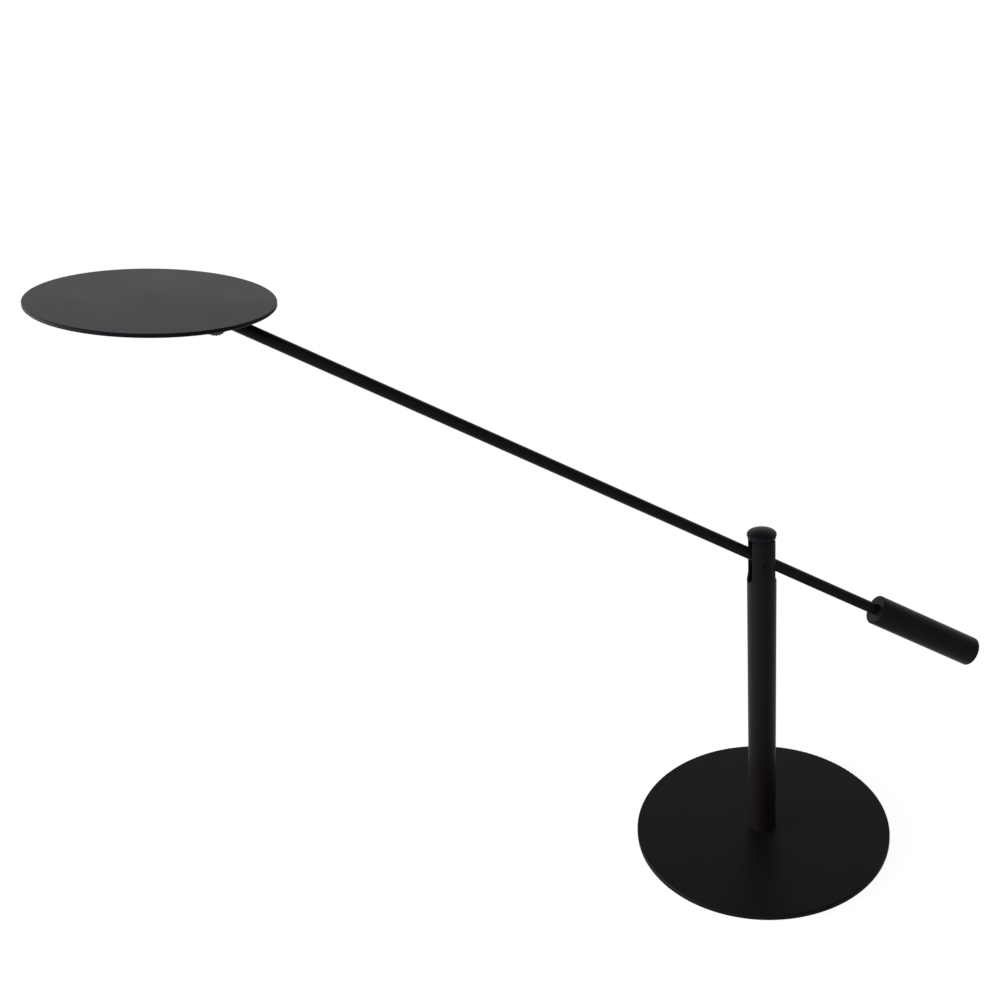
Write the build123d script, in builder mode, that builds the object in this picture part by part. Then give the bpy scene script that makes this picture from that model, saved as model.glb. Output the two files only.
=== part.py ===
from build123d import *
import os
from math import atan2, cos, degrees, radians, sin, sqrt

# Counterweight balance desk lamp: disc foot, slotted post, see-saw arm, disc LED head.
# Millimetres, +Z up. The origin is the centre of the underside of the foot. The arm lies in
# the XZ plane: the head is on the -X side and the counterweight on the +X side.

os.makedirs("parts", exist_ok=True)

# ---------------------------------------------------------------- driving sizes
# Foot
base_diameter = 200.0
base_thickness = 4.0
base_edge_radius = 0.8
base_bottom_chamfer = 0.3
pad_thickness = 1.0
pad_inset = 6.0

# Post: a tube whose top is cut into two prongs for the arm
post_diameter = 21.3
post_wall = 1.5
pivot_height = 245.0
prong_above_pivot = 17.0
slot_below_pivot = 17.5
slot_side_gap = 2.35
foot_insert_length = 32.0
post_insert_length = 18.0
post_insert_below_pivot = 22.0
post_set_screw_below_pivot = 31.0
post_set_screw_turn = 30.0

# Cap in the top of the post
cap_neck = 0.6
cap_rim_height = 2.6
cap_dome = 3.9
cap_shoulder_radius = 2.0
cap_spigot_length = 11.0
cap_screw_above_pivot = 8.4
cap_screw_diameter = 4.0
cap_screw_slot_width = 1.2
cap_screw_slot_depth = 0.8

# Arm
arm_rise = 31.7
arm_diameter = 8.2
arm_wall = 1.1
hinge_reach = 397.4

# Pivot inside the post
hub_thickness = 10.8
hub_wall = 2.9
saddle_diameter = 11.0
pivot_barrel_diameter = 4.4
pivot_head_diameter = 5.4
pivot_screw_diameter = 3.0
pivot_socket_width = 2.5
pivot_socket_depth = 1.2

# Counterweight
weight_start = 101.0
weight_length = 90.0
weight_diameter = 22.0
weight_edge_radius = 0.8
weight_socket_depth = 28.0

# Head: a thin dished disc with a round light unit under it
head_diameter = 142.6
head_rim_height = 2.5
head_web = 1.5
head_rim_width = 1.4
head_edge_radius = 0.5
head_bottom_chamfer = 0.4
head_tilt = 8.4
hinge_to_head_centre = 37.0
hinge_below_rim = 7.0

# Hinge under the head
eye_diameter = 10.8
eye_thickness = 5.0
knuckle_neck_length = 9.0
knuckle_shoulder_length = 6.0
knuckle_spigot_length = 12.0
ear_thickness = 2.5
hinge_washer_thickness = 0.25
hinge_screw_diameter = 4.0
hinge_nut_width = 7.0
hinge_nut_hex_height = 2.0
hinge_nut_dome_diameter = 6.4
hinge_nut_dome_height = 2.0
bracket_plate = 1.6
bracket_front = 6.5
bracket_back = 15.0
bracket_flange_width = 19.6
bracket_flange_length = 7.4
stud_diameter = 3.0
stud_from_edge = 3.6

# Tension knob
knob_diameter = 15.0
knob_length = 7.0
knob_boss_diameter = 7.6
knob_boss_length = 2.2
knob_washer_thickness = 0.5
knob_grooves = 24
knob_groove_width = 1.2
knob_chamfer = 0.7

# Light unit
cup_diameter = 56.0
cup_depth = 8.2
cup_floor = 2.0
cup_wall = 1.6
cup_stud_ring_diameter = 28.0
board_thickness = 1.0
led_size = 3.0
led_height = 0.7
led_outer_ring_diameter = 36.0
led_outer_count = 12
led_inner_ring_diameter = 18.0
led_inner_count = 6
diffuser_thickness = 1.5
reflector_wall = 1.0
reflector_throat = 21.5
bezel_thickness = 0.9
bezel_skirt_length = 3.0
bezel_skirt_wall = 0.8
bezel_overlap = 1.8

# Lead and inlet
lead_diameter = 5.4
wire_hole_diameter = 4.0
core_bore_diameter = 3.0
core_exit_diameter = 2.4
inlet_diameter = 8.0
inlet_length = 14.0
inlet_height = 21.0
inlet_hole_diameter = 5.7
inlet_hole_depth = 9.5
inlet_pin_diameter = 2.0
inlet_pin_seat = 2.5

# Screws
base_screw_diameter = 6.0
base_screw_length = 16.0
base_screw_head_diameter = 12.0
base_pin_diameter = 3.0
base_pin_offset = 6.2
set_screw_diameter = 4.0
nut_width = 5.5
nut_height = 2.4

# Clearances
fixed_gap = 0.05
running_gap = 0.05
face_gap = 0.1
seat_gap = 0.2

# ---------------------------------------------------------------- worked-out sizes
base_radius = base_diameter / 2
base_top = pad_thickness + base_thickness
post_radius = post_diameter / 2
post_bore_radius = post_radius - post_wall
post_top = pivot_height + prong_above_pivot
slot_width = arm_diameter + 2 * slot_side_gap
slot_bottom = pivot_height - slot_below_pivot
insert_radius = post_bore_radius - fixed_gap
arm_radius = arm_diameter / 2
arm_bore_radius = arm_radius - arm_wall
lead_radius = lead_diameter / 2
lead_hole_radius = lead_radius + seat_gap
hub_radius = arm_radius + hub_wall
knuckle_start = hinge_reach - knuckle_neck_length - knuckle_shoulder_length
eye_radius = eye_diameter / 2
set_screw_radius = set_screw_diameter / 2
hinge_pin_radius = hinge_screw_diameter / 2

rise = radians(arm_rise)
tilt = radians(head_tilt)
hinge_point = Vector(-hinge_reach * cos(rise), 0, pivot_height + hinge_reach * sin(rise))
head_outward = Vector(-cos(tilt), 0, sin(tilt))
head_up = Vector(sin(tilt), 0, cos(tilt))


def arm_plane(station):
    """Plane across the arm at a distance from the pivot: Z to the head, Y to the arm's underside."""
    origin = (-station * cos(rise), 0, pivot_height + station * sin(rise))
    return Plane(origin=origin, x_dir=(0, 1, 0), z_dir=(-cos(rise), 0, sin(rise)))


def up_plane(station, distance):
    """Plane at a station of the arm, a distance above its axis: Z square to the arm, upward."""
    frame = arm_plane(station)
    origin = frame.origin - frame.y_dir * distance
    return Plane(origin=origin, x_dir=frame.x_dir, z_dir=-frame.y_dir)


def head_plane(height, outward=0.0):
    """Plane parallel to the disc, above the hinge pin: X outward from the post, Y to the front."""
    origin = hinge_point + head_up * height + head_outward * outward
    return Plane(origin=origin, x_dir=head_outward, z_dir=head_up)


def hinge_plane(front):
    """Plane across the hinge pin, a distance in front of the arm's middle: Z to the front."""
    origin = hinge_point + Vector(0, -front, 0)
    return Plane(origin=origin, x_dir=head_outward, z_dir=(0, -1, 0))


def pivot_plane(front):
    """Plane across the pivot, a distance in front of the arm's middle: X to the weight."""
    return Plane(origin=(0, -front, pivot_height), x_dir=(1, 0, 0), z_dir=(0, -1, 0))


# ---------------------------------------------------------------- foot
with BuildPart() as base_pad:
    Cylinder(base_radius - pad_inset, pad_thickness, align=(Align.CENTER, Align.CENTER, Align.MIN))
base_pad.part.label = "base_pad"
export_step(base_pad.part, "parts/base_pad.step")

base_hole_radius = base_screw_diameter / 2 + face_gap
base_head_depth = (base_screw_head_diameter - base_screw_diameter) / 2
base_pin_bottom = base_top - base_thickness / 2
base_pin_top = base_top + 2 * base_pin_diameter
with BuildPart() as base_plate:
    with BuildSketch(Plane.XY.offset(pad_thickness)):
        Circle(base_radius)
    extrude(amount=base_thickness)
    fillet(base_plate.faces().sort_by(Axis.Z)[-1].edges(), min(base_edge_radius, base_thickness * 0.45))
    chamfer(base_plate.faces().sort_by(Axis.Z)[0].edges(), min(base_bottom_chamfer, base_thickness * 0.45))
    with BuildSketch(Plane.XY.offset(pad_thickness)):
        Circle(base_hole_radius)
    extrude(amount=base_thickness, mode=Mode.SUBTRACT)
    with BuildSketch(Plane.XY.offset(base_top)):
        with Locations((0, base_pin_offset)):
            Circle(base_pin_diameter / 2 + fixed_gap)
    extrude(amount=base_pin_bottom - base_top, mode=Mode.SUBTRACT)
    with BuildSketch(Plane.XZ) as countersink:
        with BuildLine():
            Polyline(
                (0, pad_thickness),
                (base_screw_head_diameter / 2 + face_gap, pad_thickness),
                (base_hole_radius, pad_thickness + base_head_depth),
                (0, pad_thickness + base_head_depth),
                close=True,
            )
        make_face()
    revolve(axis=Axis.Z, mode=Mode.SUBTRACT)
base_plate.part.label = "base_plate"
export_step(base_plate.part, "parts/base_plate.step")

# Countersunk screw that pulls the post down on the plate, seen from its socket upward.
with BuildPart() as base_screw:
    with BuildSketch(Plane.XZ):
        with BuildLine():
            Polyline(
                (0, pad_thickness),
                (base_screw_head_diameter / 2, pad_thickness),
                (base_screw_diameter / 2, pad_thickness + base_head_depth),
                (base_screw_diameter / 2, pad_thickness + base_screw_length),
                (0, pad_thickness + base_screw_length),
                close=True,
            )
        make_face()
    revolve(axis=Axis.Z)
    with BuildSketch(Plane.XY.offset(pad_thickness)):
        RegularPolygon(base_screw_diameter / 3, 6)
    extrude(amount=base_screw_diameter / 3, mode=Mode.SUBTRACT)
base_screw.part.label = "base_screw"
export_step(base_screw.part, "parts/base_screw.step")

# Dowel that keeps the post from turning on the plate.
with BuildPart() as base_pin:
    with BuildSketch(Plane.XY.offset(base_pin_bottom)):
        with Locations((0, base_pin_offset)):
            Circle(base_pin_diameter / 2)
    extrude(amount=base_pin_top - base_pin_bottom)
base_pin.part.label = "base_pin"
export_step(base_pin.part, "parts/base_pin.step")

# ---------------------------------------------------------------- post
inlet_z = base_top + inlet_height
set_screw_z = pivot_height - post_set_screw_below_pivot
set_screw_direction = Vector(sin(radians(post_set_screw_turn)), -cos(radians(post_set_screw_turn)), 0)


def set_screw_plane(radius):
    """Plane across the post's set screw at a distance from the post's axis."""
    origin = set_screw_direction * radius + Vector(0, 0, set_screw_z)
    return Plane(origin=origin, x_dir=(0, 0, 1), z_dir=set_screw_direction)


cap_screw_z = pivot_height + cap_screw_above_pivot
with BuildPart() as post_tube:
    with BuildSketch(Plane.XY.offset(base_top)):
        Circle(post_radius)
        Circle(post_bore_radius, mode=Mode.SUBTRACT)
    extrude(amount=post_top - base_top)
    # Slot for the arm, open at the top, with a round bottom.
    with BuildSketch(Plane.YZ):
        with Locations((0, slot_bottom + slot_width / 2)):
            Circle(slot_width / 2)
            Rectangle(slot_width, post_top - slot_bottom, align=(Align.CENTER, Align.MIN))
    extrude(amount=post_diameter, both=True, mode=Mode.SUBTRACT)
    # Holes for the pivot's two heads, and one in the front prong for the cap's screw.
    with BuildSketch(Plane.XZ):
        with Locations((0, pivot_height)):
            Circle(pivot_head_diameter / 2 + fixed_gap)
    extrude(amount=post_diameter, both=True, mode=Mode.SUBTRACT)
    with BuildSketch(Plane.XZ):
        with Locations((0, cap_screw_z)):
            Circle(cap_screw_diameter / 2 + fixed_gap)
    extrude(amount=post_diameter, mode=Mode.SUBTRACT)
    with BuildSketch(set_screw_plane(0)):
        Circle(set_screw_radius + face_gap)
    extrude(amount=post_diameter, mode=Mode.SUBTRACT)
    # Hole at the back for the inlet.
    with BuildSketch(Plane.XZ):
        with Locations((0, inlet_z)):
            Circle(inlet_diameter / 2 + fixed_gap)
    extrude(amount=-post_diameter, mode=Mode.SUBTRACT)
post_tube.part.label = "post_tube"
export_step(post_tube.part, "parts/post_tube.step")

inlet_face = post_radius - seat_gap
with BuildPart() as foot_insert:
    with BuildSketch(Plane.XY.offset(base_top)):
        Circle(insert_radius)
    extrude(amount=foot_insert_length)
    with BuildSketch(Plane.XY.offset(base_top)):
        Circle(base_screw_diameter / 2 + fixed_gap)
    extrude(amount=pad_thickness + base_screw_length + face_gap - base_top, mode=Mode.SUBTRACT)
    with BuildSketch(Plane.XY.offset(base_top)):
        with Locations((0, base_pin_offset)):
            Circle(base_pin_diameter / 2 + fixed_gap)
    extrude(amount=base_pin_top - base_top + face_gap, mode=Mode.SUBTRACT)
    # Pocket for the inlet, and the lead's hole above it.
    with BuildSketch(Plane.XZ.offset(inlet_length - inlet_face + face_gap)):
        with Locations((0, inlet_z)):
            Circle(inlet_diameter / 2 + fixed_gap)
    extrude(amount=-(inlet_length + post_radius), mode=Mode.SUBTRACT)
    with BuildSketch(Plane.XY.offset(inlet_z)):
        Circle(lead_hole_radius)
    extrude(amount=foot_insert_length, mode=Mode.SUBTRACT)
foot_insert.part.label = "foot_insert"
export_step(foot_insert.part, "parts/foot_insert.step")

# Low-voltage barrel socket at the back of the post.
with BuildPart() as power_inlet:
    with BuildSketch(Plane.XZ.offset(-inlet_face)):
        with Locations((0, inlet_z)):
            Circle(inlet_diameter / 2)
    extrude(amount=inlet_length)
    with BuildSketch(Plane.XZ.offset(-inlet_face)):
        with Locations((0, inlet_z)):
            Circle(inlet_hole_diameter / 2)
    extrude(amount=inlet_hole_depth, mode=Mode.SUBTRACT)
    with BuildSketch(Plane.XZ.offset(-inlet_face)):
        with Locations((0, inlet_z)):
            Circle(inlet_pin_diameter / 2 + fixed_gap)
    extrude(amount=inlet_hole_depth + inlet_pin_seat, mode=Mode.SUBTRACT)
power_inlet.part.label = "power_inlet"
export_step(power_inlet.part, "parts/power_inlet.step")

# Centre contact of the socket, with a chamfered tip.
with BuildPart() as inlet_pin:
    with BuildSketch(Plane.XZ.offset(seat_gap - inlet_face)):
        with Locations((0, inlet_z)):
            Circle(inlet_pin_diameter / 2)
    extrude(amount=inlet_hole_depth + inlet_pin_seat - seat_gap)
    chamfer(inlet_pin.faces().sort_by(Axis.Y)[-1].edges(), inlet_pin_diameter / 4)
inlet_pin.part.label = "inlet_pin"
export_step(inlet_pin.part, "parts/inlet_pin.step")

# Plug in the tube below the slot, held by the set screw. The lead comes up through it.
post_insert_top = pivot_height - post_insert_below_pivot
with BuildPart() as post_insert:
    with BuildSketch(Plane.XY.offset(post_insert_top - post_insert_length)):
        Circle(insert_radius)
        Circle(lead_hole_radius, mode=Mode.SUBTRACT)
    extrude(amount=post_insert_length)
    with BuildSketch(set_screw_plane(lead_radius)):
        Circle(set_screw_radius + fixed_gap)
    extrude(amount=post_diameter, mode=Mode.SUBTRACT)
post_insert.part.label = "post_insert"
export_step(post_insert.part, "parts/post_insert.step")

post_set_screw_length = post_radius - seat_gap - lead_hole_radius - post_wall
with BuildPart() as post_set_screw:
    with BuildSketch(set_screw_plane(post_radius - seat_gap - post_set_screw_length)):
        Circle(set_screw_radius)
    extrude(amount=post_set_screw_length)
    with BuildSketch(set_screw_plane(post_radius - seat_gap)):
        RegularPolygon(set_screw_radius / 2, 6)
    extrude(amount=-post_set_screw_length / 2, mode=Mode.SUBTRACT)
post_set_screw.part.label = "post_set_screw"
export_step(post_set_screw.part, "parts/post_set_screw.step")

lead_bottom = inlet_z + inlet_diameter / 2 + seat_gap
with BuildPart() as post_lead:
    with BuildSketch(Plane.XY.offset(lead_bottom)):
        Circle(lead_radius)
    extrude(amount=post_insert_top - lead_bottom)
post_lead.part.label = "post_lead"
export_step(post_lead.part, "parts/post_lead.step")

# Cap: a low crown with a round shoulder, a waisted rim, and a spigot split for the arm.
cap_radius = post_radius
cap_rim = post_top + cap_rim_height
cap_shoulder = cap_radius - cap_shoulder_radius
cap_crown_rise = cap_dome - cap_shoulder_radius
cap_crown_radius = (cap_shoulder**2 + cap_dome**2 - cap_shoulder_radius**2) / (2 * cap_crown_rise)
cap_shoulder_turn = degrees(atan2(cap_crown_radius - cap_dome, cap_shoulder))
with BuildPart() as post_cap:
    with BuildSketch(Plane.XZ):
        with BuildLine():
            Line((0, post_top), (post_radius - cap_neck, post_top))
            TangentArc((post_radius - cap_neck, post_top), (cap_radius, cap_rim), tangent=(0, 1))
            shoulder = CenterArc((cap_shoulder, cap_rim), cap_shoulder_radius, 0, cap_shoulder_turn)
            TangentArc(shoulder @ 1, (0, cap_rim + cap_dome), tangent=shoulder % 1)
            Line((0, cap_rim + cap_dome), (0, post_top))
        make_face()
    revolve(axis=Axis.Z)
    with BuildSketch(Plane.XY.offset(post_top)):
        Circle(insert_radius)
        Rectangle(post_diameter, slot_width + 2 * seat_gap, mode=Mode.SUBTRACT)
    extrude(amount=-cap_spigot_length)
    with BuildSketch(Plane.XZ):
        with Locations((0, cap_screw_z)):
            Circle(cap_screw_diameter / 2 + fixed_gap)
    extrude(amount=post_diameter, mode=Mode.SUBTRACT)
post_cap.part.label = "post_cap"
export_step(post_cap.part, "parts/post_cap.step")

# Slotted grub screw that holds the cap's spigot in the front prong.
cap_screw_face = post_radius - face_gap
cap_screw_end = slot_width / 2 + seat_gap + face_gap
with BuildPart() as cap_screw:
    with BuildSketch(Plane.XZ.offset(cap_screw_end)):
        with Locations((0, cap_screw_z)):
            Circle(cap_screw_diameter / 2)
    extrude(amount=cap_screw_face - cap_screw_end)
    with BuildSketch(Plane.XZ.offset(cap_screw_face)):
        with Locations((0, cap_screw_z)):
            Rectangle(cap_screw_slot_width, cap_screw_diameter + face_gap)
    extrude(amount=-cap_screw_slot_depth, mode=Mode.SUBTRACT)
cap_screw.part.label = "cap_screw"
export_step(cap_screw.part, "parts/cap_screw.step")

# ---------------------------------------------------------------- pivot
hub_half = hub_thickness / 2
saddle_start = hub_half + face_gap
pivot_head_seat = sqrt(post_bore_radius**2 - (pivot_head_diameter / 2 + seat_gap) ** 2) - face_gap
pivot_head_top = post_radius - face_gap
barrel_bore_radius = pivot_barrel_diameter / 2 + running_gap

# Two friction saddles: flat to the hub, round to the tube's bore, spot-faced for the heads.
with BuildPart() as pivot_saddles:
    for side in (-1, 1):
        with BuildSketch(pivot_plane(side * saddle_start)):
            Circle(saddle_diameter / 2)
            Circle(barrel_bore_radius, mode=Mode.SUBTRACT)
        extrude(amount=side * post_radius)
    with BuildSketch():
        Circle(insert_radius)
    extrude(amount=2 * pivot_height, mode=Mode.INTERSECT)
    for side in (-1, 1):
        with BuildSketch(pivot_plane(side * pivot_head_seat)):
            Circle(pivot_head_diameter / 2 + seat_gap)
        extrude(amount=side * post_radius, mode=Mode.SUBTRACT)
pivot_saddles.part.label = "pivot_saddles"
export_step(pivot_saddles.part, "parts/pivot_saddles.step")

# Sleeve nut from the back, and the socket screw from the front that closes it.
with BuildPart() as pivot_barrel:
    with BuildSketch(pivot_plane(-pivot_head_top)):
        Circle(pivot_head_diameter / 2)
    extrude(amount=pivot_head_top - pivot_head_seat)
    with BuildSketch(pivot_plane(-pivot_head_seat)):
        Circle(pivot_barrel_diameter / 2)
    extrude(amount=2 * pivot_head_seat - face_gap)
    with BuildSketch(pivot_plane(pivot_head_seat)):
        Circle(pivot_screw_diameter / 2 + fixed_gap)
    extrude(amount=-2 * pivot_head_seat, mode=Mode.SUBTRACT)
pivot_barrel.part.label = "pivot_barrel"
export_step(pivot_barrel.part, "parts/pivot_barrel.step")

with BuildPart() as pivot_screw:
    with BuildSketch(pivot_plane(pivot_head_seat)):
        Circle(pivot_head_diameter / 2)
    extrude(amount=pivot_head_top - pivot_head_seat)
    with BuildSketch(pivot_plane(pivot_head_seat)):
        Circle(pivot_screw_diameter / 2)
    extrude(amount=-pivot_head_seat - hub_half)
    with BuildSketch(pivot_plane(pivot_head_top)):
        RegularPolygon(pivot_socket_width / 2, 6, major_radius=False)
    extrude(amount=-pivot_socket_depth, mode=Mode.SUBTRACT)
pivot_screw.part.label = "pivot_screw"
export_step(pivot_screw.part, "parts/pivot_screw.step")

# Round hub, cross-drilled for the arm and for the sleeve nut.
with BuildPart() as pivot_hub:
    with BuildSketch(pivot_plane(-hub_half)):
        Circle(hub_radius)
        Circle(barrel_bore_radius, mode=Mode.SUBTRACT)
    extrude(amount=hub_thickness)
    with BuildSketch(arm_plane(0)):
        Circle(arm_radius + fixed_gap)
    extrude(amount=post_diameter, both=True, mode=Mode.SUBTRACT)
    with BuildSketch(up_plane(0, 0)):
        Circle(set_screw_radius + fixed_gap)
    extrude(amount=hub_radius, mode=Mode.SUBTRACT)
    with BuildSketch(up_plane(pivot_barrel_diameter, 0)):
        Circle(wire_hole_diameter / 2)
    extrude(amount=-hub_radius, mode=Mode.SUBTRACT)
pivot_hub.part.label = "pivot_hub"
export_step(pivot_hub.part, "parts/pivot_hub.step")

# ---------------------------------------------------------------- arm
with BuildPart() as hub_set_screw:
    with BuildSketch(up_plane(0, arm_radius + fixed_gap)):
        Circle(set_screw_radius)
    extrude(amount=hub_wall - seat_gap)
    with BuildSketch(up_plane(0, hub_radius - seat_gap + fixed_gap)):
        RegularPolygon(set_screw_radius / 2, 6)
    extrude(amount=-hub_wall / 2, mode=Mode.SUBTRACT)
hub_set_screw.part.label = "hub_set_screw"
export_step(hub_set_screw.part, "parts/hub_set_screw.step")

weight_socket_end = weight_start + weight_socket_depth
with BuildPart() as arm_tube:
    with BuildSketch(arm_plane(-weight_socket_end)):
        Circle(arm_radius)
        Circle(arm_bore_radius, mode=Mode.SUBTRACT)
    extrude(amount=knuckle_start + weight_socket_end)
    with BuildSketch(pivot_plane(-arm_diameter)):
        Circle(barrel_bore_radius)
    extrude(amount=2 * arm_diameter, mode=Mode.SUBTRACT)
    # The lead leaves through the underside, just in front of the sleeve nut.
    with BuildSketch(up_plane(pivot_barrel_diameter, 0)):
        Circle(wire_hole_diameter / 2)
    extrude(amount=-arm_diameter, mode=Mode.SUBTRACT)
arm_tube.part.label = "arm_tube"
export_step(arm_tube.part, "parts/arm_tube.step")

arm_lead_start = barrel_bore_radius + seat_gap
arm_lead_end = knuckle_start - knuckle_spigot_length - seat_gap
with BuildPart() as arm_lead:
    with BuildSketch(arm_plane(arm_lead_start)):
        Circle(lead_radius)
    extrude(amount=arm_lead_end - arm_lead_start)
arm_lead.part.label = "arm_lead"
export_step(arm_lead.part, "parts/arm_lead.step")

weight_radius = weight_diameter / 2
weight_screw_station = -weight_start - weight_socket_depth / 2
with BuildPart() as counterweight:
    with BuildSketch(arm_plane(-weight_start - weight_length)):
        Circle(weight_radius)
    extrude(amount=weight_length)
    fillet(counterweight.edges().filter_by(GeomType.CIRCLE), weight_edge_radius)
    with BuildSketch(arm_plane(-weight_start)):
        Circle(arm_radius + fixed_gap)
    extrude(amount=-weight_socket_depth - seat_gap, mode=Mode.SUBTRACT)
    with BuildSketch(up_plane(weight_screw_station, 0)):
        Circle(set_screw_radius + fixed_gap)
    extrude(amount=-weight_radius, mode=Mode.SUBTRACT)
counterweight.part.label = "counterweight"
export_step(counterweight.part, "parts/counterweight.step")

weight_screw_length = weight_radius - arm_radius - fixed_gap - seat_gap
with BuildPart() as weight_set_screw:
    with BuildSketch(up_plane(weight_screw_station, -arm_radius - fixed_gap)):
        Circle(set_screw_radius)
    extrude(amount=-weight_screw_length)
    with BuildSketch(up_plane(weight_screw_station, seat_gap - weight_radius)):
        RegularPolygon(set_screw_radius / 2, 6)
    extrude(amount=weight_screw_length / 2, mode=Mode.SUBTRACT)
weight_set_screw.part.label = "weight_set_screw"
export_step(weight_set_screw.part, "parts/weight_set_screw.step")

# Turned end of the arm: spigot, shoulder, flatted neck and the hinge's eye.
neck_start = knuckle_start + knuckle_shoulder_length
with BuildPart() as arm_knuckle:
    with BuildSketch(arm_plane(knuckle_start - knuckle_spigot_length)):
        Circle(arm_bore_radius - fixed_gap)
    extrude(amount=knuckle_spigot_length)
    with BuildSketch(arm_plane(knuckle_start)):
        Circle(arm_radius)
    extrude(amount=knuckle_shoulder_length)
    with BuildSketch(arm_plane(neck_start)):
        Circle(arm_radius)
        Rectangle(eye_thickness, arm_diameter, mode=Mode.INTERSECT)
    extrude(amount=knuckle_neck_length)
    with BuildSketch(hinge_plane(-eye_thickness / 2)):
        Circle(eye_radius)
    extrude(amount=eye_thickness)
    with BuildSketch(hinge_plane(-eye_thickness / 2)):
        Circle(hinge_pin_radius + running_gap)
    extrude(amount=eye_thickness, mode=Mode.SUBTRACT)
    # Way for the lead's cores: in through the spigot, out at the top of the shoulder.
    with BuildSketch(arm_plane(knuckle_start - knuckle_spigot_length)):
        Circle(core_bore_diameter / 2)
    extrude(amount=knuckle_spigot_length + knuckle_shoulder_length * 0.75, mode=Mode.SUBTRACT)
    with BuildSketch(up_plane(knuckle_start + knuckle_shoulder_length / 2, 0)):
        Circle(core_exit_diameter / 2)
    extrude(amount=arm_radius, mode=Mode.SUBTRACT)
arm_knuckle.part.label = "arm_knuckle"
export_step(arm_knuckle.part, "parts/arm_knuckle.step")

# ---------------------------------------------------------------- hinge under the head
ear_start = eye_thickness / 2 + face_gap / 2 + hinge_washer_thickness
ear_end = ear_start + ear_thickness
bracket_top = hinge_below_rim + head_rim_height - head_web
bracket_bottom = bracket_top - bracket_plate
stud_offset = bracket_flange_width / 2 - stud_from_edge
stud_outward = -bracket_back + bracket_flange_length / 2
stud_hole_radius = stud_diameter / 2 + face_gap
bracket_studs = ((stud_outward, -stud_offset), (stud_outward, stud_offset))
stem_length = bracket_front - stud_outward

with BuildPart() as head_bracket:
    with BuildSketch(head_plane(bracket_bottom)):
        with Locations((stud_outward, 0)):
            RectangleRounded(bracket_flange_length, bracket_flange_width, bracket_flange_length / 3)
        with Locations((bracket_front, 0)):
            Rectangle(stem_length, 2 * ear_end, align=(Align.MAX, Align.CENTER))
        with Locations(*bracket_studs):
            Circle(stud_hole_radius, mode=Mode.SUBTRACT)
    extrude(amount=bracket_plate)
    for side in (-1, 1):
        with BuildSketch(hinge_plane(side * ear_start)):
            Circle(eye_radius)
            Rectangle(eye_diameter, bracket_bottom, align=(Align.CENTER, Align.MAX))
            Circle(hinge_pin_radius + running_gap, mode=Mode.SUBTRACT)
        extrude(amount=side * ear_thickness)
head_bracket.part.label = "head_bracket"
export_step(head_bracket.part, "parts/head_bracket.step")

with BuildPart() as hinge_washers:
    for side in (-1, 1):
        with BuildSketch(hinge_plane(side * ear_start)):
            Circle(eye_radius - face_gap)
            Circle(hinge_pin_radius + running_gap, mode=Mode.SUBTRACT)
        extrude(amount=-side * hinge_washer_thickness)
hinge_washers.part.label = "hinge_washers"
export_step(hinge_washers.part, "parts/hinge_washers.step")

with BuildPart() as bracket_nuts:
    with BuildSketch(head_plane(bracket_bottom)):
        with Locations(*bracket_studs):
            RegularPolygon(nut_width / 2, 6, major_radius=False)
            Circle(stud_diameter / 2 + fixed_gap, mode=Mode.SUBTRACT)
    extrude(amount=-nut_height)
bracket_nuts.part.label = "bracket_nuts"
export_step(bracket_nuts.part, "parts/bracket_nuts.step")

with BuildPart() as knob_washer:
    with BuildSketch(hinge_plane(ear_end)):
        Circle(knob_boss_diameter / 2)
        Circle(hinge_pin_radius + running_gap, mode=Mode.SUBTRACT)
    extrude(amount=knob_washer_thickness)
knob_washer.part.label = "knob_washer"
export_step(knob_washer.part, "parts/knob_washer.step")

# Knurled knob, moulded on the head of the hinge screw.
knob_start = ear_end + knob_washer_thickness + face_gap / 2
knob_rim_start = knob_start + knob_boss_length
screw_head_end = knob_rim_start + knob_length / 2
with BuildPart() as tension_knob:
    with BuildSketch(hinge_plane(knob_start)):
        Circle(knob_boss_diameter / 2)
    extrude(amount=knob_boss_length)
    with BuildSketch(hinge_plane(knob_rim_start)):
        Circle(knob_diameter / 2)
    extrude(amount=knob_length)
    chamfer(tension_knob.faces().sort_by(Axis.Y)[0].edges(), knob_chamfer)
    with BuildSketch(hinge_plane(knob_rim_start)):
        with PolarLocations(knob_diameter / 2, knob_grooves):
            RegularPolygon(knob_groove_width / 2, 4)
    extrude(amount=knob_length, mode=Mode.SUBTRACT)
    with BuildSketch(hinge_plane(knob_start)):
        Circle(hinge_pin_radius + fixed_gap)
    extrude(amount=screw_head_end + face_gap - knob_start, mode=Mode.SUBTRACT)
tension_knob.part.label = "tension_knob"
export_step(tension_knob.part, "parts/tension_knob.step")

# Cap nut on the back ear: a hexagon with a low dome and a blind thread.
nut_thread_depth = hinge_nut_hex_height + hinge_nut_dome_height / 2
nut_dome_start = ear_end + hinge_nut_hex_height
with BuildPart() as hinge_nut:
    with BuildSketch(hinge_plane(-ear_end)):
        RegularPolygon(hinge_nut_width / 2, 6, major_radius=False)
    extrude(amount=-hinge_nut_hex_height)
    with BuildSketch(hinge_plane(-nut_dome_start)):
        Circle(hinge_nut_dome_diameter / 2)
    extrude(amount=-hinge_nut_dome_height)
    nut_dome_edges = hinge_nut.faces().sort_by(Axis.Y)[-1].edges()
    chamfer(nut_dome_edges, hinge_nut_dome_height * 0.6, hinge_nut_dome_diameter * 0.3)
    with BuildSketch(hinge_plane(-ear_end)):
        Circle(hinge_pin_radius + running_gap)
    extrude(amount=-nut_thread_depth, mode=Mode.SUBTRACT)
hinge_nut.part.label = "hinge_nut"
export_step(hinge_nut.part, "parts/hinge_nut.step")

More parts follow.
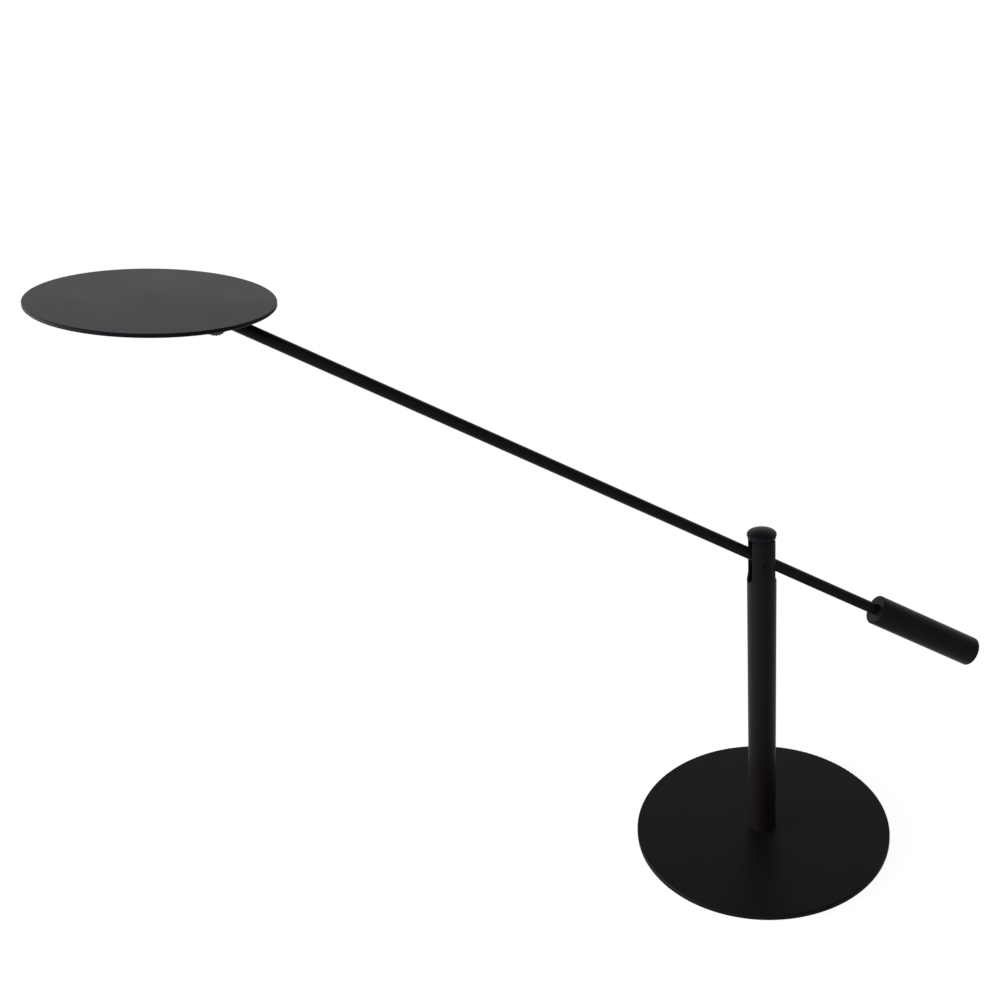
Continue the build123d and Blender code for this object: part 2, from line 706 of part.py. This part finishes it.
hinge_screw_start = ear_end + nut_thread_depth - face_gap
with BuildPart() as hinge_screw:
    with BuildSketch(hinge_plane(-hinge_screw_start)):
        Circle(hinge_pin_radius)
    extrude(amount=hinge_screw_start + screw_head_end)
hinge_screw.part.label = "hinge_screw"
export_step(hinge_screw.part, "parts/hinge_screw.step")

# ---------------------------------------------------------------- head
head_radius = head_diameter / 2
rim_bottom = hinge_below_rim
web_bottom = bracket_top
with BuildPart() as head_shell:
    with BuildSketch(head_plane(rim_bottom, hinge_to_head_centre)):
        Circle(head_radius)
    extrude(amount=head_rim_height)
    fillet(head_shell.faces().sort_by(Axis((0, 0, 0), head_up))[-1].edges(), head_edge_radius)
    chamfer(head_shell.faces().sort_by(Axis((0, 0, 0), head_up))[0].edges(), head_bottom_chamfer)
    with BuildSketch(head_plane(rim_bottom, hinge_to_head_centre)):
        Circle(head_radius - head_rim_width)
    extrude(amount=head_rim_height - head_web, mode=Mode.SUBTRACT)
    # Weld studs for the bracket and for the light unit.
    with BuildSketch(head_plane(web_bottom)):
        with Locations(*bracket_studs):
            Circle(stud_diameter / 2)
    extrude(amount=-bracket_plate - nut_height)
    with BuildSketch(head_plane(web_bottom, hinge_to_head_centre)):
        with PolarLocations(cup_stud_ring_diameter / 2, 3):
            Circle(stud_diameter / 2)
    extrude(amount=-cup_floor - board_thickness - nut_height)
head_shell.part.label = "head_shell"
export_step(head_shell.part, "parts/head_shell.step")

# ---------------------------------------------------------------- light unit
cup_radius = cup_diameter / 2
cup_bore_radius = cup_radius - cup_wall
cup_mouth = web_bottom - cup_depth
board_top = web_bottom - cup_floor
board_bottom = board_top - board_thickness
diffuser_top = cup_mouth + diffuser_thickness
loose_radius = cup_bore_radius - seat_gap

with BuildPart() as lamp_cup:
    with BuildSketch(head_plane(web_bottom, hinge_to_head_centre)):
        Circle(cup_radius)
    extrude(amount=-cup_depth)
    with BuildSketch(head_plane(board_top, hinge_to_head_centre)):
        Circle(cup_bore_radius)
    extrude(amount=cup_mouth - board_top, mode=Mode.SUBTRACT)
    with BuildSketch(head_plane(cup_mouth + bezel_skirt_length, hinge_to_head_centre)):
        Circle(cup_radius)
        Circle(cup_radius - bezel_skirt_wall - fixed_gap, mode=Mode.SUBTRACT)
    extrude(amount=-bezel_skirt_length, mode=Mode.SUBTRACT)
    with BuildSketch(head_plane(web_bottom, hinge_to_head_centre)):
        with PolarLocations(cup_stud_ring_diameter / 2, 3):
            Circle(stud_hole_radius)
    extrude(amount=-cup_floor, mode=Mode.SUBTRACT)
    # Hole for the lead's cores, on the hinge's side, under the board.
    lead_port = head_plane(board_bottom - wire_hole_diameter / 4, hinge_to_head_centre)
    with BuildSketch(Plane(origin=lead_port.origin, x_dir=(0, 1, 0), z_dir=-head_outward)):
        Circle(wire_hole_diameter / 4)
    extrude(amount=cup_radius, mode=Mode.SUBTRACT)
lamp_cup.part.label = "lamp_cup"
export_step(lamp_cup.part, "parts/lamp_cup.step")

with BuildPart() as led_board:
    with BuildSketch(head_plane(board_top, hinge_to_head_centre)):
        Circle(loose_radius)
        with PolarLocations(cup_stud_ring_diameter / 2, 3):
            Circle(stud_hole_radius, mode=Mode.SUBTRACT)
    extrude(amount=-board_thickness)
led_board.part.label = "led_board"
export_step(led_board.part, "parts/led_board.step")

# Nuts that hold the cup and the board up on the weld studs.
with BuildPart() as cup_nuts:
    with BuildSketch(head_plane(board_bottom, hinge_to_head_centre)):
        with PolarLocations(cup_stud_ring_diameter / 2, 3):
            RegularPolygon(nut_width / 2, 6, major_radius=False)
            Circle(stud_diameter / 2 + fixed_gap, mode=Mode.SUBTRACT)
    extrude(amount=-nut_height)
cup_nuts.part.label = "cup_nuts"
export_step(cup_nuts.part, "parts/cup_nuts.step")

with BuildPart() as leds:
    with BuildSketch(head_plane(board_bottom, hinge_to_head_centre)):
        Rectangle(led_size, led_size)
        with PolarLocations(led_inner_ring_diameter / 2, led_inner_count, 180 / led_inner_count):
            Rectangle(led_size, led_size)
        with PolarLocations(led_outer_ring_diameter / 2, led_outer_count, 180 / led_outer_count):
            Rectangle(led_size, led_size)
    extrude(amount=-led_height)
leds.part.label = "leds"
export_step(leds.part, "parts/leds.step")

# White cone between the board and the diffuser.
reflector_plane = Plane(
    origin=head_plane(0, hinge_to_head_centre).origin,
    x_dir=head_outward,
    z_dir=(0, -1, 0),
)
reflector_top = board_bottom
with BuildPart() as reflector:
    with BuildSketch(reflector_plane):
        with BuildLine():
            Polyline(
                (reflector_throat, -reflector_top),
                (reflector_throat + reflector_wall, -reflector_top),
                (loose_radius, -diffuser_top - reflector_wall),
                (loose_radius, -diffuser_top),
                (loose_radius - reflector_wall, -diffuser_top),
                close=True,
            )
        make_face()
    revolve(axis=Axis(reflector_plane.origin, head_up))
reflector.part.label = "reflector"
export_step(reflector.part, "parts/reflector.step")

with BuildPart() as diffuser:
    with BuildSketch(head_plane(cup_mouth, hinge_to_head_centre)):
        Circle(loose_radius)
    extrude(amount=diffuser_thickness)
diffuser.part.label = "diffuser"
export_step(diffuser.part, "parts/diffuser.step")

with BuildPart() as bezel:
    with BuildSketch(head_plane(cup_mouth - bezel_thickness, hinge_to_head_centre)):
        Circle(cup_radius)
    extrude(amount=bezel_thickness + bezel_skirt_length)
    chamfer(bezel.faces().sort_by(Axis((0, 0, 0), head_up))[0].edges(), bezel_thickness / 2)
    with BuildSketch(head_plane(cup_mouth, hinge_to_head_centre)):
        Circle(cup_radius - bezel_skirt_wall)
    extrude(amount=bezel_skirt_length, mode=Mode.SUBTRACT)
    with BuildSketch(head_plane(cup_mouth - bezel_thickness, hinge_to_head_centre)):
        Circle(cup_bore_radius - bezel_overlap)
    extrude(amount=bezel_thickness, mode=Mode.SUBTRACT)
bezel.part.label = "bezel"
export_step(bezel.part, "parts/bezel.step")
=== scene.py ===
import bpy
from math import cos, radians, sin
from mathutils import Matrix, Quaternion, Vector

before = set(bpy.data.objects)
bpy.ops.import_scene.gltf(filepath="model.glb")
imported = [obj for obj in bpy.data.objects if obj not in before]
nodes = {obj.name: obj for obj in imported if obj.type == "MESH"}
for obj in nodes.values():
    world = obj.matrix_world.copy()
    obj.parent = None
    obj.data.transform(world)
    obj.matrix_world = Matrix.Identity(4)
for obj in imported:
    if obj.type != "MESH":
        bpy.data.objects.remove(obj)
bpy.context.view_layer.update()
print("frame loaded,", len(nodes), "CAD nodes")


# Small helpers.

def hexToLinear(code):
    channels = [int(code[i:i + 2], 16) / 255 for i in (0, 2, 4)]
    return [c / 12.92 if c <= 0.04045 else ((c + 0.055) / 1.055) ** 2.4 for c in channels] + [1.0]


def addNode(tree, kind, settings=None, links=None):
    # settings are node properties or input values, links are input name -> output socket
    node = tree.nodes.new(kind)
    for name, value in (settings or {}).items():
        if isinstance(name, str) and hasattr(node, name):
            setattr(node, name, value)
        else:
            node.inputs[name].default_value = value
    for name, socket in (links or {}).items():
        tree.links.new(socket, node.inputs[name])
    return node


def newMaterial(name):
    material = bpy.data.materials.new(name)
    material.use_nodes = True
    material.node_tree.nodes.clear()
    return material, material.node_tree


def finishMaterial(tree, shader):
    addNode(tree, "ShaderNodeOutputMaterial", links={"Surface": shader.outputs[0]})


def patternScale(sizeMm):
    # object coordinates are in metres, so one pattern cell of sizeMm needs this scale
    return 1000 / sizeMm


# Camera at the photograph's place, in the lamp's own frame.

cameraSettings = {
    "placeMm": (-176.6, -730.8, 652.5),
    "towardRight": 6.69,  # degrees from +Y toward +X
    "downward": 25.31,
    "rollClockwise": 3.06,
    "lensMm": 42.8,
    "sensorMm": 36.0,
    "shift": (-0.1318, -0.0033),  # the photograph's framing: its optical centre is right of the middle
    "nearestM": 0.01,
    "farthestM": 50,
}


def buildCamera(s):
    data = bpy.data.cameras.new("photoCamera")
    data.lens = s["lensMm"]
    data.sensor_width = s["sensorMm"]
    data.shift_x, data.shift_y = s["shift"]
    data.clip_start, data.clip_end = s["nearestM"], s["farthestM"]
    camera = bpy.data.objects.new("photoCamera", data)
    bpy.context.scene.collection.objects.link(camera)
    turn, down = radians(s["towardRight"]), radians(s["downward"])
    forward = Vector((sin(turn) * cos(down), cos(turn) * cos(down), -sin(down)))
    roll = Quaternion((0, 0, 1), -radians(s["rollClockwise"]))
    camera.rotation_mode = "QUATERNION"
    camera.rotation_quaternion = forward.to_track_quat("-Z", "Y") @ roll
    camera.location = Vector(s["placeMm"]) / 1000
    bpy.context.scene.camera = camera


buildCamera(cameraSettings)
print("camera placed")


# Finishes.

noiseRange = {"From Min": 0.3, "From Max": 0.7}  # the noise seldom leaves these values


def unevenGloss(tree, cloud, roughness, spread):
    # roughness that drifts a little with the noise, as every sprayed, moulded or cut surface does
    limits = {"To Min": roughness - spread, "To Max": roughness + spread}
    return addNode(tree, "ShaderNodeMapRange", {**noiseRange, **limits},
                   {"Value": cloud.outputs["Fac"]}).outputs["Result"]


powderCoatSettings = {
    # polyester powder, sprayed and stoved: dead matt black with a faint orange peel
    "steel": {"colour": "141013", "worn": "181417", "roughness": 0.41},
    "aluminium": {"colour": "141419", "worn": "18181d", "roughness": 0.39},
    "ior": 1.5,
    "specular": 0.06,  # matting agent in the film: far less mirror than bare resin
    "peelMm": 1.6,  # real peel is nearer 0.8 mm, drawn coarser so that it shows
    "peelDepthMm": 0.035,
    "gritMm": 0.5,
    "gritDepthMm": 0.014,
    "cloudMm": 45.0,  # slow change of film thickness
    "cloudContrast": 0.55,
    "roughnessSpread": 0.015,
    "edgeRoughness": 0.68,  # the narrow edge of a flat plate takes a thin, dry coat
    "edgeBelow": 0.2,  # a face is all edge under this share of the plate's axis,
    "flatAbove": 0.8,  # and all flat over this one
}
headTilt = radians(8.4)  # the disc's outer side is this much higher
baseAxis = (0, 0, 1)
headAxis = (sin(headTilt), 0, cos(headTilt))


def powderCoat(name, tone, s, plateAxis=None):
    material, tree = newMaterial(name)
    place = addNode(tree, "ShaderNodeTexCoord").outputs["Object"]
    cloud = addNode(tree, "ShaderNodeTexNoise",
                    {"Scale": patternScale(s["cloudMm"]), "Detail": 3.0, "Roughness": s["cloudContrast"]},
                    {"Vector": place})
    peel = addNode(tree, "ShaderNodeTexNoise",
                   {"Scale": patternScale(s["peelMm"]), "Detail": 1.0},
                   {"Vector": place})
    grit = addNode(tree, "ShaderNodeTexNoise",
                   {"Scale": patternScale(s["gritMm"]), "Detail": 2.0},
                   {"Vector": place})
    colour = addNode(tree, "ShaderNodeMix", {"data_type": "RGBA"})
    for socket, value in ((6, tone["colour"]), (7, tone["worn"])):  # its two colour inputs
        colour.inputs[socket].default_value = hexToLinear(value)
    tree.links.new(cloud.outputs["Fac"], colour.inputs[0])
    rough = unevenGloss(tree, cloud, tone["roughness"], s["roughnessSpread"])
    if plateAxis:
        normal = addNode(tree, "ShaderNodeTexCoord").outputs["Normal"]
        along = addNode(tree, "ShaderNodeVectorMath",
                        {"operation": "DOT_PRODUCT", 1: plateAxis}, {0: normal})
        flatness = addNode(tree, "ShaderNodeMath",
                           {"operation": "ABSOLUTE"}, {0: along.outputs["Value"]})
        dull = addNode(tree, "ShaderNodeMapRange",
                       {"From Min": s["edgeBelow"], "From Max": s["flatAbove"],
                        "To Min": s["edgeRoughness"], "To Max": 0.0},
                       {"Value": flatness.outputs[0]})
        rough = addNode(tree, "ShaderNodeMath", {"operation": "MAXIMUM"},
                        {0: rough, 1: dull.outputs["Result"]}).outputs[0]
    peelBump = addNode(tree, "ShaderNodeBump",
                       {"Strength": 1.0, "Distance": s["peelDepthMm"] / 1000},
                       {"Height": peel.outputs["Fac"]})
    gritBump = addNode(tree, "ShaderNodeBump",
                       {"Strength": 1.0, "Distance": s["gritDepthMm"] / 1000},
                       {"Height": grit.outputs["Fac"], "Normal": peelBump.outputs["Normal"]})
    shader = addNode(tree, "ShaderNodeBsdfPrincipled",
                     {"IOR": s["ior"], "Specular IOR Level": s["specular"]},
                     {"Base Color": colour.outputs[2], "Roughness": rough,
                      "Normal": gritBump.outputs["Normal"]})
    finishMaterial(tree, shader)
    return material


mouldedSettings = {
    "ior": 1.5,
    "cloudMm": 12.0,
    "roughnessSpread": 0.04,
}


def mouldedPlastic(name, colour, roughness, grainMm, grainDepthMm, extra=None):
    # moulded parts carry the fine spark-eroded grain of their tool
    s = mouldedSettings
    material, tree = newMaterial(name)
    place = addNode(tree, "ShaderNodeTexCoord").outputs["Object"]
    grain = addNode(tree, "ShaderNodeTexVoronoi", {"Scale": patternScale(grainMm)}, {"Vector": place})
    cloud = addNode(tree, "ShaderNodeTexNoise",
                    {"Scale": patternScale(s["cloudMm"]), "Detail": 3.0}, {"Vector": place})
    rough = unevenGloss(tree, cloud, roughness, s["roughnessSpread"])
    bump = addNode(tree, "ShaderNodeBump",
                   {"Strength": 1.0, "Distance": grainDepthMm / 1000},
                   {"Height": grain.outputs["Distance"]})
    settings = {"Base Color": hexToLinear(colour), "IOR": s["ior"]}
    settings.update(extra or {})
    shader = addNode(tree, "ShaderNodeBsdfPrincipled", settings,
                     {"Roughness": rough, "Normal": bump.outputs["Normal"]})
    finishMaterial(tree, shader)
    return material


turnedSettings = {
    "cloudMm": 3.0,
    "markMm": 0.4,  # spacing of the tool marks, drawn coarser than the real 0.1 mm so that they show
    "markDepthMm": 0.008,
    "roughnessSpread": 0.07,
}


def turnedMetal(name, colour, roughness):
    # cut steel: fine marks all over, a little uneven in gloss
    s = turnedSettings
    material, tree = newMaterial(name)
    place = addNode(tree, "ShaderNodeTexCoord").outputs["Object"]
    cloud = addNode(tree, "ShaderNodeTexNoise",
                    {"Scale": patternScale(s["cloudMm"]), "Detail": 4.0}, {"Vector": place})
    marks = addNode(tree, "ShaderNodeTexNoise",
                    {"Scale": patternScale(s["markMm"]), "Detail": 2.0}, {"Vector": place})
    rough = unevenGloss(tree, cloud, roughness, s["roughnessSpread"])
    bump = addNode(tree, "ShaderNodeBump",
                   {"Strength": 1.0, "Distance": s["markDepthMm"] / 1000},
                   {"Height": marks.outputs["Fac"]})
    shader = addNode(tree, "ShaderNodeBsdfPrincipled",
                     {"Base Color": hexToLinear(colour), "Metallic": 1.0},
                     {"Roughness": rough, "Normal": bump.outputs["Normal"]})
    finishMaterial(tree, shader)
    return material


powderSteel = powderCoat("powderCoatedSteel", powderCoatSettings["steel"], powderCoatSettings)
powderPlate = powderCoat("powderCoatedPlate", powderCoatSettings["steel"], powderCoatSettings, baseAxis)
powderAluminium = powderCoat("powderCoatedAluminium", powderCoatSettings["aluminium"], powderCoatSettings)
powderDisc = powderCoat("powderCoatedDisc", powderCoatSettings["aluminium"], powderCoatSettings, headAxis)

# Colour and roughness. Blackened screws gleam dark, zinc plate is bright and cool.
blackOxide = turnedMetal("blackOxideSteel", "1f1e20", 0.34)
zincPlate = turnedMetal("zincPlatedSteel", "a9abad", 0.3)

# Colour, roughness, grain width and grain depth in mm.
nylon = mouldedPlastic("mouldedNylon", "18181a", 0.5, 0.5, 0.01)  # satin black, like the coat but softer
acetal = mouldedPlastic("naturalAcetal", "e4e2dc", 0.35, 0.4, 0.004)  # waxy off-white
pvcSheath = mouldedPlastic("pvcSheath", "1a1a1a", 0.45, 0.4, 0.005)  # extruded, smooth, half dull
foamPad = mouldedPlastic("closedCellFoam", "161616", 0.9, 0.9, 0.12)  # pitted and wholly matt
solderMask = mouldedPlastic("whiteSolderMask", "eeeeea", 0.4, 0.5, 0.003)  # even white lacquer
phosphor = mouldedPlastic("ledPhosphor", "e9d27a", 0.3, 0.3, 0.004)  # yellow silicone dots
reflectorWhite = mouldedPlastic("whitePolycarbonate", "f1f1ee", 0.35, 0.5, 0.004)  # bright, slightly shiny
opalAcrylic = mouldedPlastic("opalAcrylic", "eeeee8", 0.42, 0.4, 0.003,  # light goes in and comes back milky
                             {"Subsurface Weight": 0.3, "Subsurface Scale": 0.003, "IOR": 1.49})

finishes = {
    powderPlate: ["base_plate"],
    powderDisc: ["head_shell"],
    powderSteel: ["post_tube", "arm_tube", "counterweight", "arm_knuckle", "pivot_hub", "head_bracket",
                  "pivot_screw", "pivot_barrel", "cap_screw"],
    powderAluminium: ["post_cap", "lamp_cup"],
    blackOxide: ["post_set_screw", "hub_set_screw", "weight_set_screw", "bracket_nuts", "hinge_nut",
                 "hinge_screw"],
    zincPlate: ["base_screw", "base_pin", "foot_insert", "post_insert", "inlet_pin", "cup_nuts"],
    nylon: ["power_inlet", "bezel", "tension_knob"],
    acetal: ["pivot_saddles", "hinge_washers", "knob_washer"],
    pvcSheath: ["post_lead", "arm_lead"],
    foamPad: ["base_pad"],
    solderMask: ["led_board"],
    phosphor: ["leds"],
    reflectorWhite: ["reflector"],
    opalAcrylic: ["diffuser"],
}
for material, names in finishes.items():
    for name in names:
        nodes[name].material_slots[0].material = material
print("finishes assigned")


# Floor and light.

studioSettings = {
    "floorSizeM": 24.0,
    "floorDropMm": 0.1,  # keeps the floor just under the pad
    "floorColour": "f6f6f6",  # the paper sweep, as the camera and the mirrored view show it
    "floorBounce": "6a6a6a",  # what the lamp's matt surfaces get of it
    "floorShadow": 0.2,  # share of the floor that keeps the lamp's shadow
    "nearWhite": 1.15,  # makes up for the paint's share, so that the unshaded sweep is plain white
    "shadowRadiusM": 0.45,  # past this the sweep goes over to plain white
    "horizon": 0.35,  # room light on matt surfaces, low round the lamp
    "sweep": 1.24,  # the white sweep in the mirrored view, low behind the lamp
    "sweepColour": "fafaff",
    "front": 0.7,  # share of that left behind the camera
    "frontFade": 0.5,  # the front share comes in over this much of the unit sphere, each side of X
    "ceiling": 0.05,
    "fadeFrom": 0.2,  # height on the unit sphere where the sweep starts to darken
    "fadeTo": 0.95,
    "leftToRight": 0.1,  # the room is this much brighter on the left than on the right
}
plainWhite = (1, 1, 1, 1)


def seesBackground(tree, rays):
    # camera, mirror and glass rays see the white background, matt surfaces get the room
    mirrored = addNode(tree, "ShaderNodeMath", {"operation": "MAXIMUM"},
                       {0: rays.outputs["Is Glossy Ray"], 1: rays.outputs["Is Transmission Ray"]})
    return addNode(tree, "ShaderNodeMath", {"operation": "MAXIMUM"},
                   {0: rays.outputs["Is Camera Ray"], 1: mirrored.outputs[0]}).outputs[0]


def nearTheLamp(tree, distance, radius, near, far):
    # near's value within half the radius, far's value past the whole of it
    return addNode(tree, "ShaderNodeMapRange",
                   {"interpolation_type": "SMOOTHSTEP", "From Min": radius / 2, "From Max": radius,
                    "To Min": near, "To Max": far},
                   {"Value": distance})


def buildFloor(s):
    half = s["floorSizeM"] / 2
    corners = [(-half, -half, 0), (half, -half, 0), (half, half, 0), (-half, half, 0)]
    mesh = bpy.data.meshes.new("floor")
    mesh.from_pydata(corners, [], [(0, 1, 2, 3)])
    floor = bpy.data.objects.new("floor", mesh)
    floor.location.z = -s["floorDropMm"] / 1000
    bpy.context.scene.collection.objects.link(floor)
    material, tree = newMaterial("paperSweep")
    place = addNode(tree, "ShaderNodeTexCoord").outputs["Object"]
    distance = addNode(tree, "ShaderNodeVectorMath", {"operation": "LENGTH"}, {0: place}).outputs["Value"]
    shadowShare = nearTheLamp(tree, distance, s["shadowRadiusM"], s["floorShadow"], 0.0)
    whiteness = nearTheLamp(tree, distance, s["shadowRadiusM"], s["nearWhite"], 1.0)
    paint = addNode(tree, "ShaderNodeBsdfDiffuse", {"Color": hexToLinear(s["floorColour"])})
    bounce = addNode(tree, "ShaderNodeBsdfDiffuse", {"Color": hexToLinear(s["floorBounce"])})
    white = addNode(tree, "ShaderNodeEmission", {"Color": plainWhite}, {"Strength": whiteness.outputs[0]})
    seen = addNode(tree, "ShaderNodeMixShader",
                   links={0: shadowShare.outputs[0], 1: white.outputs[0], 2: paint.outputs[0]})
    rays = addNode(tree, "ShaderNodeLightPath")
    mixed = addNode(tree, "ShaderNodeMixShader",
                    links={0: seesBackground(tree, rays), 1: bounce.outputs[0], 2: seen.outputs[0]})
    finishMaterial(tree, mixed)
    mesh.materials.append(material)


def buildWorld(s):
    world = bpy.data.worlds.new("studio")
    bpy.context.scene.world = world
    world.use_nodes = True
    tree = world.node_tree
    tree.nodes.clear()
    direction = addNode(tree, "ShaderNodeTexCoord").outputs["Generated"]
    axes = addNode(tree, "ShaderNodeSeparateXYZ", links={0: direction})
    rays = addNode(tree, "ShaderNodeLightPath")
    height = addNode(tree, "ShaderNodeMapRange",
                     {"interpolation_type": "SMOOTHSTEP", "From Min": s["fadeFrom"], "From Max": s["fadeTo"],
                      "To Min": 1.0, "To Max": 0.0},
                     {"Value": axes.outputs["Z"]})
    side = addNode(tree, "ShaderNodeMapRange",
                   {"From Min": -1.0, "From Max": 1.0,
                    "To Min": 1 + s["leftToRight"], "To Max": 1 - s["leftToRight"]},
                   {"Value": axes.outputs["X"]})
    depth = addNode(tree, "ShaderNodeMapRange",
                    {"interpolation_type": "SMOOTHSTEP", "From Min": -s["frontFade"],
                     "From Max": s["frontFade"], "To Min": s["front"], "To Max": 1.0},
                    {"Value": axes.outputs["Y"]})
    ground = addNode(tree, "ShaderNodeMath", {"operation": "MULTIPLY"},
                     {0: side.outputs["Result"], 1: depth.outputs["Result"]})
    low = addNode(tree, "ShaderNodeMath", {"operation": "MULTIPLY"},
                  {0: height.outputs["Result"], 1: ground.outputs[0]})
    room = addNode(tree, "ShaderNodeMath", {"operation": "MULTIPLY_ADD", 1: s["horizon"], 2: s["ceiling"]},
                   {0: low.outputs[0]})
    sweep = addNode(tree, "ShaderNodeMath", {"operation": "MULTIPLY_ADD", 1: s["sweep"], 2: s["ceiling"]},
                    {0: low.outputs[0]})
    matt = addNode(tree, "ShaderNodeBackground", {"Color": plainWhite}, {"Strength": room.outputs[0]})
    mirrored = addNode(tree, "ShaderNodeBackground", {"Color": hexToLinear(s["sweepColour"])},
                       {"Strength": sweep.outputs[0]})
    backdrop = addNode(tree, "ShaderNodeBackground", {"Color": plainWhite, "Strength": 1.0})
    background = addNode(tree, "ShaderNodeMixShader",
                         links={0: rays.outputs["Is Camera Ray"], 1: mirrored.outputs[0],
                                2: backdrop.outputs[0]})
    mixed = addNode(tree, "ShaderNodeMixShader",
                    links={0: seesBackground(tree, rays), 1: matt.outputs[0], 2: background.outputs[0]})
    addNode(tree, "ShaderNodeOutputWorld", links={"Surface": mixed.outputs[0]})


lampSettings = {
    # metres, from the foot's middle
    "frontKey": {"place": (-0.5, -1.2, 1.7), "aim": (-0.1, 0, 0.2), "size": (1.3, 1.0), "watts": 10.0},
    # low enough that the tilted disc's top doesn't mirror it toward someone on the right
    "leftBox": {"place": (-1.5, 0.05, 0.34), "aim": (0, 0, 0.2), "size": (1.3, 0.66), "watts": 29.0},
    "backFill": {"place": (0.7, 1.5, 1.4), "aim": (0, 0, 0.2), "size": (1.4, 1.0), "watts": 1.8},
}


def buildLamps(settings):
    for name, s in settings.items():
        data = bpy.data.lights.new(name, "AREA")
        data.shape = "RECTANGLE"
        data.size, data.size_y = s["size"]
        data.energy = s["watts"]
        lamp = bpy.data.objects.new(name, data)
        lamp.location = s["place"]
        lamp.rotation_mode = "QUATERNION"
        lamp.rotation_quaternion = (Vector(s["aim"]) - Vector(s["place"])).to_track_quat("-Z", "Y")
        bpy.context.scene.collection.objects.link(lamp)


buildFloor(studioSettings)
buildWorld(studioSettings)
buildLamps(lampSettings)
bpy.context.scene.view_settings.view_transform = "Standard"
print("studio built")
